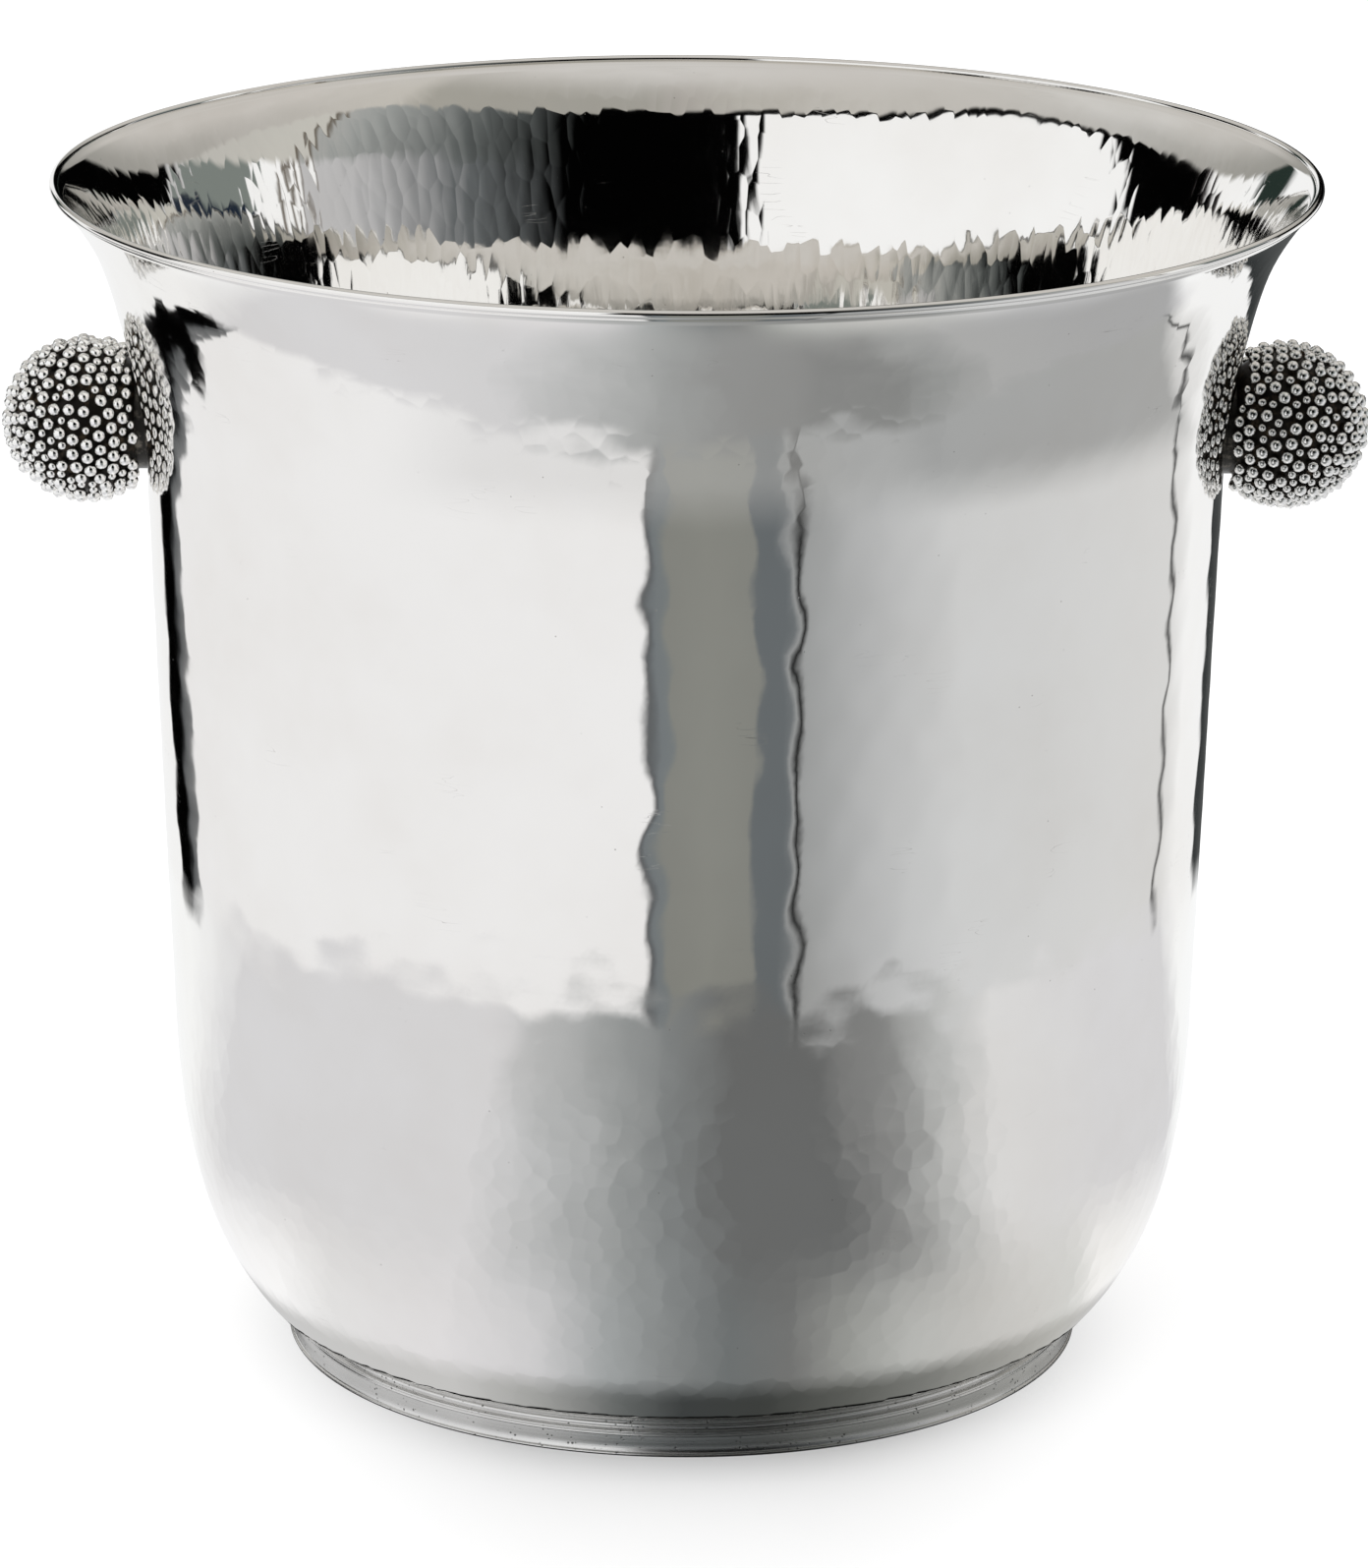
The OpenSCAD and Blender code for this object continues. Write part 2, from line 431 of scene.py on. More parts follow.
@dataclass(frozen=True)
class Silver:
    """Polished silver with the small faults of hand work."""

    name: str
    tint: Colour = (0.955, 0.945, 0.925)
    shade: Colour = (0.90, 0.88, 0.85)
    rough: float = 0.035
    smudge: float = 0.05
    ripple: float = 0.004 * MM
    ripple_scale: float = 260.0
    dimple: float = 0.0
    dimple_top: float = 0.09
    ovals: float = 0.0
    pits: float = 0.0
    turning: float = 0.0

    def material(self) -> bpy.types.Material:
        """Builds the material.

        Returns:
            The finished material.
        """
        made, sh = Shader.material(self.name)
        where = sh.place()
        cloud = sh.noise(where, 18.0, 4.0, 0.6)
        wipe = sh.noise(sh.place((1.0, 1.0, 3.0), (0.5, 0.3, 0.0)), 60.0, 5.0, 0.65)
        coat = Coat(
            sh,
            colour=sh.mix(cloud.step(0.35, 0.75), self.tint, self.shade),
            roughness=(cloud * wipe).step(0.18, 0.55) * self.smudge + self.rough,
            normal=sh.bump(sh.noise(where, self.ripple_scale, 2.0, 0.5), self.ripple),
        )
        for wanted, add in (
            (self.dimple, self._dimples),
            (self.ovals, self._ovals),
            (self.turning, self._turning),
            (self.pits, self._pits),
            (True, self._scratches),
        ):
            if wanted:
                add(coat)
        sh.finish(sh.metal(coat.colour, 1.0, coat.roughness, coat.normal))
        return made

    def _dimples(self, coat: Coat) -> None:
        """Small planishing dimples low on the bowl, outside.

        Args:
            coat: the coat that gets them.
        """
        sh = coat.sh
        where = sh.place()
        height = sh.axes(where)[2]
        low = height.step(self.dimple_top, self.dimple_top * 0.6)
        collar = height.step(0.176, 0.19) * height.step(0.214, 0.208)
        dishes = sh.cells(sh.place((1.0, 1.0, 0.9)), 300.0, loose=0.85, blend=0.22) ** 2.0
        wide = sh.cells(where, 150.0, blend=1.0) ** 2.0
        relief = dishes * (low * 1.05 + collar * 0.3 + 0.04) + wide * 0.3
        coat.bump(relief * sh.outward(), self.dimple)

    def _ovals(self, coat: Coat) -> None:
        """Upright oval marks inside the wall, fading towards the lip.

        Args:
            coat: the coat that gets them.
        """
        sh = coat.sh
        fade = sh.axes(sh.place())[2].step(0.2165, 0.209) * sh.around()[1].step(0.02, 0.05)
        marks = sh.cells(sh.place((1.0, 1.0, 0.42)), 345.0, loose=0.8, blend=0.12) ** 2.0
        coat.bump(marks * fade * (1.0 - sh.outward()), self.ovals)

    def _turning(self, coat: Coat) -> None:
        """Fine turning lines that run round the Z axis.

        Args:
            coat: the coat that gets them.
        """
        sh = coat.sh
        ends = {0: sh.around()[1], 1: sh.axes(sh.place())[2], 2: 0.0}
        line = sh.out("ShaderNodeCombineXYZ", 0, None, ends)
        lines = sh.noise(line, 5200.0, 3.0, 0.7)
        coat.bump(lines * 0.5 + sh.noise(line, 1400.0, 2.0, 0.5), self.turning)
        coat.roughness = coat.roughness + lines.step(0.4, 0.7) * 0.1

    def _pits(self, coat: Coat) -> None:
        """Casting pits: small dark specks.

        Args:
            coat: the coat that gets them.
        """
        sh = coat.sh
        rare = sh.noise(sh.place(), 300.0, 3.0, 0.6).step(0.5, 0.58)
        pit = sh.cells(sh.place(), 1150.0).step(0.3, 0.16) * rare
        coat.stain(pit * self.pits, (0.10, 0.095, 0.09))
        coat.bump(pit, -0.04 * MM)

    def _scratches(self, coat: Coat) -> None:
        """A few hairline scratches and specks.

        Args:
            coat: the coat that gets them.
        """
        sh = coat.sh
        line = sh.noise(sh.place((1.0, 1.0, 9.0), (0.35, 0.9, 0.2)), 90.0, 1.0, 0.4)
        thin = (line - 0.5).maths("ABSOLUTE").step(0.0035, 0.0008)
        mark = thin * sh.noise(sh.place(), 75.0, 1.0).step(0.66, 0.72)
        speck = sh.cells(sh.place(), 260.0).step(0.045, 0.025) * sh.noise(sh.place(), 33.0).step(0.5, 0.56)
        both = (mark * 0.5 + speck * 0.8).maths("MINIMUM", 1.0)
        coat.stain(both * 0.7, (0.22, 0.2, 0.18))
        coat.bump(both, -0.006 * MM)


@dataclass(frozen=True)
class Oxidised:
    """Silver darkened to brown-black in its recesses."""

    name: str
    dark: Colour = (0.012, 0.010, 0.008)
    brown: Colour = (0.085, 0.06, 0.038)
    rough: float = 0.42

    def material(self) -> bpy.types.Material:
        """Builds the material.

        Returns:
            The finished material.
        """
        made, sh = Shader.material(self.name)
        where = sh.place()
        patch = sh.noise(where, 420.0, 5.0, 0.65)
        colour = sh.mix(patch.step(0.5, 0.72), self.dark, self.brown)
        grain = sh.noise(where, 2600.0, 4.0, 0.6)
        sh.finish(sh.metal(colour, 0.75, patch * 0.25 + self.rough - 0.1, sh.bump(grain, 0.03 * MM)))
        return made


@dataclass(frozen=True)
class Granule:
    """Bright granules, dark where they meet the ball."""

    name: str
    bright: Colour = (0.97, 0.965, 0.95)
    dark: Colour = (0.03, 0.025, 0.02)
    centre: Vector = field(default_factory=Vector)
    core: float = 0.0134

    def material(self) -> bpy.types.Material:
        """Builds the material.

        Returns:
            The finished material.
        """
        made, sh = Shader.material(self.name)
        where = sh.place()
        ends = {0: where, 1: tuple(self.centre)}
        away = sh.out("ShaderNodeVectorMath", "Value", {"operation": "DISTANCE"}, ends)
        ragged = sh.noise(where, 1900.0, 3.0, 0.6)
        root = (away + ragged * 0.5 * MM).step(self.core + 0.6 * MM, self.core + 0.22 * MM)
        colour = sh.mix(root, self.bright, self.dark)
        roughness = root * 0.3 + ragged.step(0.45, 0.8) * 0.08 + 0.05
        sh.finish(sh.metal(colour, 1.0, roughness, sh.bump(sh.noise(where, 1500.0, 2.0), 0.01 * MM)))
        return made


# ------------------------------------------------------------- the metal bench


class Bench:
    """Modelling moves that several pieces need."""

    @staticmethod
    def clear() -> None:
        """Leaves edit mode and deselects everything."""
        if bpy.context.object and bpy.context.object.mode != "OBJECT":
            bpy.ops.object.mode_set(mode="OBJECT")
        bpy.ops.object.select_all(action="DESELECT")

    @staticmethod
    def hold(obj: bpy.types.Object) -> None:
        """Makes one object the only selected and active one.

        Args:
            obj: the object.
        """
        Bench.clear()
        obj.select_set(True)
        bpy.context.view_layer.objects.active = obj

    @staticmethod
    def spin(name: str, outline: Sequence[Point], steps: int, closed: bool) -> bpy.types.Object:
        """Spins an outline of (radius, height) points round the Z axis.

        Args:
            name: the piece's name.
            outline: the points in metres.
            steps: how many columns the turn has.
            closed: True if the last point joins the first.

        Returns:
            The spun object.
        """
        Bench.clear()
        bpy.ops.mesh.primitive_circle_add(vertices=len(outline), radius=0.1)
        obj = bpy.context.object
        obj.name = name
        for vertex, (radius, height) in zip(obj.data.vertices, outline):
            vertex.co = (radius, 0.0, height)
        bpy.ops.object.mode_set(mode="EDIT")
        if not closed:
            bpy.ops.mesh.select_mode(type="EDGE")
            bpy.ops.mesh.select_all(action="DESELECT")
            bpy.ops.object.mode_set(mode="OBJECT")
            for edge in obj.data.edges:
                edge.select = set(edge.vertices) == {0, len(outline) - 1}
            bpy.ops.object.mode_set(mode="EDIT")
            bpy.ops.mesh.delete(type="EDGE_FACE")
            bpy.ops.mesh.select_mode(type="VERT")
        bpy.ops.mesh.select_all(action="SELECT")
        bpy.ops.mesh.spin(steps=steps, angle=2 * math.pi, center=(0, 0, 0), axis=(0, 0, 1))
        bpy.ops.mesh.select_all(action="SELECT")
        bpy.ops.mesh.remove_doubles(threshold=1e-7)
        bpy.ops.mesh.normals_make_consistent(inside=False)
        bpy.ops.object.mode_set(mode="OBJECT")
        obj.data.name = name
        return obj

    @staticmethod
    def points(obj: bpy.types.Object) -> np.ndarray:
        """Reads an object's vertices.

        Args:
            obj: the object.

        Returns:
            Their places, one row each.
        """
        found = np.empty(len(obj.data.vertices) * 3)
        obj.data.vertices.foreach_get("co", found)
        return found.reshape(-1, 3)

    @staticmethod
    def press(obj: bpy.types.Object, heights: np.ndarray) -> None:
        """Moves each vertex along its normal by its own height, with a Displace modifier.

        Args:
            obj: the object.
            heights: one height in metres for each vertex.
        """
        Bench.hold(obj)
        low, span = float(heights.min()), float(np.ptp(heights)) or 1e-9
        group = obj.vertex_groups.new(name="relief")
        for i, share in enumerate((heights - low) / span):
            group.add([i], float(share), "REPLACE")
        for strength, name in ((span, "relief"), (low, "")):
            push = obj.modifiers.new("press", "DISPLACE")
            push.strength, push.mid_level, push.vertex_group = strength, 0.0, name
            bpy.ops.object.modifier_apply(modifier=push.name)
        obj.vertex_groups.clear()

    @staticmethod
    def dress(obj: bpy.types.Object, finish: bpy.types.Material) -> None:
        """Gives every face of a piece one finish.

        Args:
            obj: the piece.
            finish: its material.
        """
        obj.data.materials.clear()
        obj.data.materials.append(finish)

    @staticmethod
    def place(
        obj: bpy.types.Object,
        finish: bpy.types.Material,
        replaces: Sequence[str],
        slot: str,
        angle: float | None = None,
    ) -> None:
        """Shades and dresses a piece, rides it on the body and hides the CAD nodes that it stands for.

        Args:
            obj: the piece.
            finish: its material.
            replaces: the CAD nodes.
            slot: not used.
            angle: the angle in degrees above which its edges stay sharp, or None if none do.
        """
        Bench.hold(obj)
        if angle is None:
            bpy.ops.object.shade_smooth()
        else:
            bpy.ops.object.shade_smooth_by_angle(angle=math.radians(angle))
        Bench.dress(obj, finish)
        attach(obj, "root")
        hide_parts(*replaces)
        LOG.info("%s: %d faces", obj.name, len(obj.data.polygons))


@dataclass(frozen=True)
class HammerMarks:
    """A field of planishing marks in staggered rows."""

    width: float
    height: float
    depth: float
    seed: int
    jitter: float = 0.32
    soft: float = 9.0

    def relief(self, around: np.ndarray, along: np.ndarray, girth: float) -> np.ndarray:
        """Height of the marked surface, 0 in the middle of a mark.

        Args:
            around: distance round the piece, in metres.
            along: distance along the outline, in metres.
            girth: the whole distance round, in metres.

        Returns:
            One height for each point, in metres.
        """
        columns = max(3, round(girth / self.width))
        rows = int(along.max() / self.height) + 4
        draw = np.random.default_rng(self.seed)
        nudge = draw.uniform(-self.jitter, self.jitter, (rows + 4, columns, 2))
        size = draw.uniform(0.8, 1.25, (rows + 4, columns))
        u, v = around / girth * columns, along / self.height
        i0, j0 = np.floor(u).astype(int), np.floor(v).astype(int)
        total = np.zeros_like(u)
        for dj in (-1, 0, 1):
            j = np.clip(j0 + dj + 1, 0, rows + 3)
            stagger = 0.5 * (j % 2)
            for di in (-2, -1, 0, 1, 2):
                i = (i0 + di) % columns
                du = u - (i0 + di + 0.5 + stagger + nudge[j, i, 0])
                dv = v - (j0 + dj + 0.5 + nudge[j, i, 1])
                total += np.exp(-self.soft * (du * du + dv * dv) / size[j, i])
        return -np.log(np.maximum(total, 1e-9)) / self.soft * 4.0 * self.depth


# ------------------------------------------------------------------- the bowl


@dataclass
class Bowl:
    """The raised bowl: one sheet from the flat bottom to the lip."""

    rim_d: float = 229.97 * MM
    height: float = 219.5 * MM
    sheet: float = 1.2 * MM
    seat_z: float = 7.6 * MM
    corner: Point = (79.75 * MM, 10.2 * MM)
    corner_a: float = math.radians(50)
    wall_low: Point = (94.45 * MM, 61.9 * MM)
    wall_top: Point = (98.1 * MM, 165.7 * MM)
    throat: Point = (106.9 * MM, 207.5 * MM)
    throat_a: float = math.radians(25.3)
    lip_a: float = math.radians(46.5)
    wire_d: float = 1.6 * MM
    stud_z: float = 173.3 * MM
    mark_r: float = 0.097
    columns_out: int = 400
    columns_in: int = 840
    outside: HammerMarks = HammerMarks(8.2 * MM, 7.4 * MM, 0.05 * MM, 11)
    inside: HammerMarks = HammerMarks(2.9 * MM, 7.0 * MM, 0.04 * MM, 23, 0.2, 7.0)
    finish: Silver = Silver("planished_silver", dimple=0.07 * MM, ovals=0.08 * MM)

    # how much of the radius is added to a height to place it along the outline
    OUT_SHARE = 0.37

    # waves round the bowl, metres a wave takes up, height in millimetres, phase
    SWELL = (
        (5, 0.11, 0.10, 0.3), (9, 0.07, 0.06, 1.9), (14, 0.05, 0.035, 4.1), (23, 0.034, 0.016, 2.2),
        (31, 0.026, 0.01, 5.0),
    )

    def _curve(self, handles: Sequence[np.ndarray], off: float, count: int = 200) -> np.ndarray:
        """A curve with four handles, moved into the bowl.

        Args:
            handles: the four handles.
            off: how far in it is moved.
            count: how many points it has.

        Returns:
            The points, count by 2.
        """
        t = np.linspace(0, 1, count)[:, None]
        s = 1 - t
        a, b, c, d = handles
        spot = a * s**3 + 3 * b * t * s**2 + 3 * c * t**2 * s + d * t**3
        way = (b - a) * s**2 + 2 * (c - b) * t * s + (d - c) * t**2
        way /= np.linalg.norm(way, axis=1)[:, None]
        return spot + off * np.stack([-way[:, 1], way[:, 0]], 1)

    @staticmethod
    def _lean(angle: float) -> np.ndarray:
        """A direction in the outline's plane.

        Args:
            angle: how far it leans out from upright, in radians.

        Returns:
            The direction as (radius, height).
        """
        return np.array([math.sin(angle), math.cos(angle)])

    def outline(self, off: float) -> np.ndarray:
        """The bowl's outline from the axis to the lip.

        Args:
            off: how far in from the outside, in metres.

        Returns:
            A dense list of (radius, height) points.
        """
        places = (self.corner, self.wall_low, self.wall_top, self.throat)
        start, low, top, throat = (np.array(place) for place in places)
        wall = (top - low) / np.linalg.norm(top - low)
        wire = np.array([(self.rim_d - self.wire_d) / 2, self.height - self.wire_d / 2])
        lip = self._lean(self.lip_a)
        end = wire - self.sheet / 2 * np.array([-lip[1], lip[0]])
        bend = (self.corner[1] - self.seat_z) / (1 - math.cos(self.corner_a))
        middle = self.corner[0] - bend * math.sin(self.corner_a)
        turn = np.linspace(0, self.corner_a, 40)
        inner = bend - off
        arc = np.stack([middle + inner * np.sin(turn), self.seat_z + bend - inner * np.cos(turn)], 1)
        rise = np.array([math.cos(self.corner_a), math.sin(self.corner_a)])
        flare_way, throat_way = 14 * MM * wall, self._lean(self.throat_a)
        return np.vstack(
            [
                [[0.0, self.seat_z + off]],
                arc,
                self._curve((start, start + 15.2 * MM * rise, low - 24.4 * MM * wall, low), off)[1:],
                self._curve((top, top + flare_way, throat - 7.7 * MM * throat_way, throat), off),
                self._curve((throat, throat + 1.5 * MM * throat_way, end - 5.5 * MM * lip, end), off, 60)[1:],
            ]
        )

    @staticmethod
    def rows(outline: np.ndarray, spacing: tuple[float, float, float], count: int) -> np.ndarray:
        """Spreads rows over an outline.

        Args:
            outline: the dense outline.
            spacing: how far apart rows are on the bottom, low on the wall and high on it.
            count: how many rows there are.

        Returns:
            The rows' points, and their distances along the outline as a third column.
        """
        steps = np.linalg.norm(np.diff(outline, axis=0), axis=1)
        along = np.concatenate([[0], np.cumsum(steps)])
        fine = np.linspace(0, along[-1], 6000)
        r, z = np.interp(fine, along, outline[:, 0]), np.interp(fine, along, outline[:, 1])
        apart = np.where(r < 0.07, spacing[0], np.where(z < 0.14, spacing[1], spacing[2]))
        weight = np.concatenate([[0], np.cumsum(1 / apart[1:])])
        at = np.interp(np.linspace(0, weight[-1], count), weight, fine)
        return np.stack([np.interp(at, fine, r), np.interp(at, fine, z), at], 1)

    def _swell(self, angle: np.ndarray, height: np.ndarray) -> np.ndarray:
        """The slow unevenness of a raised sheet, shared by both its sides.

        Args:
            angle: the angle round the axis.
            height: the height.

        Returns:
            One height for each point, in metres.
        """
        total = np.zeros_like(angle)
        for turns, wave, amount, phase in self.SWELL:
            up = height / wave
            across = turns * angle + phase + 1.3 * np.sin(up + phase)
            total += amount * np.sin(across) * np.cos(up * 2.1 + phase)
        return total * MM

    @staticmethod
    def _step(value: np.ndarray, low: float, high: float) -> np.ndarray:
        """A smooth step from 0 at low to 1 at high, or down again if high is the smaller.

        Args:
            value: the values to step.
            low: the value that gives 0.
            high: the value that gives 1.

        Returns:
            The stepped values.
        """
        share = np.clip((value - low) / (high - low), 0, 1)
        return share**2 * (3 - 2 * share)

    def _relief(self, spots: np.ndarray, rows: np.ndarray, marks: HammerMarks, sign: float) -> np.ndarray:
        """Heights of the hammered skin along its own normals.

        Args:
            spots: the skin's vertices.
            rows: the skin's rows.
            marks: its hammer marks.
            sign: 1 outside, -1 inside, for the slow swell that both sides share.

        Returns:
            One height for each vertex.
        """
        radius = np.hypot(spots[:, 0], spots[:, 1])
        angle = np.mod(np.arctan2(spots[:, 1], spots[:, 0]), 2 * math.pi)
        keys = rows[:, 1] + self.OUT_SHARE * rows[:, 0]
        order = np.argsort(keys)
        along = np.interp(spots[:, 2] + self.OUT_SHARE * radius, keys[order], rows[order, 2])
        girth = 2 * math.pi * self.mark_r
        height = spots[:, 2]
        knob = np.hypot(np.abs(spots[:, 1]), height - self.stud_z)
        clear = self._step(knob, 9.5 * MM, 14 * MM) + (np.abs(spots[:, 0]) < 0.05)
        clear = np.clip(clear, 0, 1) * self._step(radius, 0.078, 0.084)
        if sign > 0:
            fade = 0.35 + 0.65 * self._step(height, 0.2145, 0.204)
        else:
            fade = 0.06 + 0.94 * self._step(height, 0.215, 0.206)
        lip = self._step(height, 0.2185, 0.212)
        hammered = marks.relief(angle / (2 * math.pi) * girth, along, girth) * fade
        return (hammered + sign * self._swell(angle, height)) * clear * lip

    def build(self) -> bpy.types.Object:
        """Spins both skins, hammers them and joins them at the lip.

        Returns:
            The bowl.
        """
        skins = []
        for name, off, spacing, count, columns, marks, sign in (
            ("bowl", 0.0, (9.0, 2.0, 2.0), 106, self.columns_out, self.outside, 1.0),
            ("bowl_inside", self.sheet, (14.0, 5.0, 2.2), 66, self.columns_in, self.inside, -1.0),
        ):
            rows = self.rows(self.outline(off), spacing, count)
            skin = Bench.spin(name, [tuple(p) for p in rows[:, :2]], columns, False)
            if self._points_inwards(skin, sign):
                Bench.hold(skin)
                bpy.ops.object.mode_set(mode="EDIT")
                bpy.ops.mesh.select_all(action="SELECT")
                bpy.ops.mesh.flip_normals()
                bpy.ops.object.mode_set(mode="OBJECT")
            Bench.press(skin, self._relief(Bench.points(skin), rows, marks, sign))
            facing = skin.data.attributes.new(OUTWARD, "FLOAT", "POINT")
            facing.data.foreach_set("value", [1.0 if sign > 0 else 0.0] * len(skin.data.vertices))
            skins.append(skin)
        Bench.hold(skins[0])
        skins[1].select_set(True)
        bpy.ops.object.join()
        obj = bpy.context.object
        bpy.ops.object.mode_set(mode="EDIT")
        bpy.ops.mesh.select_mode(type="EDGE")
        bpy.ops.mesh.select_all(action="DESELECT")
        bpy.ops.mesh.select_non_manifold()
        bpy.ops.mesh.bridge_edge_loops()
        bpy.ops.mesh.select_all(action="SELECT")
        bpy.ops.mesh.normals_make_consistent(inside=False)
        bpy.ops.object.mode_set(mode="OBJECT")
        Bench.place(obj, self.finish.material(), ["bucket_shell"], "planished_silver")
        return obj

    @staticmethod
    def _points_inwards(skin: bpy.types.Object, sign: float) -> bool:
        """Tells which way a skin's faces look, from some of them.

        Args:
            skin: the skin.
            sign: 1 for the outer skin, which looks away from the axis, and -1 for the inner one.

        Returns:
            True if they look the wrong way.
        """
        faces = list(skin.data.polygons)[::17]
        total = sum(p.area * (p.normal.x * p.center.x + p.normal.y * p.center.y) for p in faces)
        return total * sign < 0


@dataclass
class RimWire:
    """The wire soldered round the lip."""

    rim_d: float = 229.97 * MM
    top: float = 219.5 * MM
    wire_d: float = 1.6 * MM
    columns: int = 512
    sides: int = 14
    finish: Silver = Silver("wire_silver", rough=0.05, ripple=0.003 * MM)

    def build(self) -> bpy.types.Object:
        """Spins the wire's round section.

        Returns:
            The wire.
        """
        r = self.wire_d / 2
        middle = (self.rim_d / 2 - r, self.top - r)
        turn = [2 * math.pi * i / self.sides for i in range(self.sides)]
        outline = [(middle[0] + r * math.cos(a), middle[1] + r * math.sin(a)) for a in turn]
        obj = Bench.spin("rim_wire_round", outline, self.columns, True)
        Bench.place(obj, self.finish.material(), ["rim_wire"], "polished_wire")
        return obj


@dataclass
class FootRing:
    """The moulded foot ring under the bowl."""

    base_d: float = 148 * MM
    inner_d: float = 141.2 * MM
    top_d: float = 145.6 * MM
    height: float = 7.6 * MM
    ridge_z: float = 3.6 * MM
    columns: int = 480
    finish: Silver = Silver(
        "turned_silver",
        tint=(0.80, 0.795, 0.785),
        shade=(0.62, 0.615, 0.61),
        rough=0.2,
        smudge=0.12,
        pits=0.85,
        turning=0.011 * MM,
        ripple=0.012 * MM,
    )

    @staticmethod
    def _arc(x: float, z: float, r: float, a: float, b: float, n: int) -> list[Point]:
        """Points on an arc.

        Args:
            x: the middle's radius.
            z: the middle's height.
            r: the arc's own radius.
            a: its first angle in degrees.
            b: its last angle in degrees.
            n: how many steps it has.

        Returns:
            The points, one more than the steps.
        """
        turn = [math.radians(a + (b - a) * i / n) for i in range(n + 1)]
        return [(x + r * math.cos(t), z + r * math.sin(t)) for t in turn]

    def build(self) -> bpy.types.Object:
        """Spins the moulded section.

        Returns:
            The foot ring.
        """
        r, t, g = self.base_d / 2 / MM, self.top_d / 2 / MM, self.ridge_z / MM
        section = [
            (self.inner_d / 2 / MM, 0.0),
            *self._arc(r - 0.3, 0.3, 0.3, -90, 75, 7),
            (r - 0.38, 0.66),
            (r - 0.5, 0.85),
            (r - 0.55, 2.2),
            (r - 0.62, g - 0.12),
            *self._arc(r - 0.75, g + 0.25, 0.25, -60, 60, 6),
            *self._arc(r - 0.8, g + 0.75, 0.25, -60, 60, 6),
            (r - 0.86, g + 1.08),
            *self._arc(t - 0.6, g + 1.7, 0.6, -38, 80, 8),
            *self._arc(t, g + 3.05, 0.75, 255, 140, 9),
            (t - 0.35, self.height / MM - 0.22),
            (t - 0.02, self.height / MM - 0.12),
            (t, self.height / MM),
            (t - 2.6, self.height / MM),
        ]
        obj = Bench.spin("foot_moulding", [(x * MM, z * MM) for x, z in section], self.columns, True)
        Bench.place(obj, self.finish.material(), ["foot_ring"], "satin_silver", 40)
        return obj


# ------------------------------------------------------------------- the knobs


class Side(Enum):
    """Which side of the bucket a knob is on."""

    RIGHT = 1
    LEFT = -1


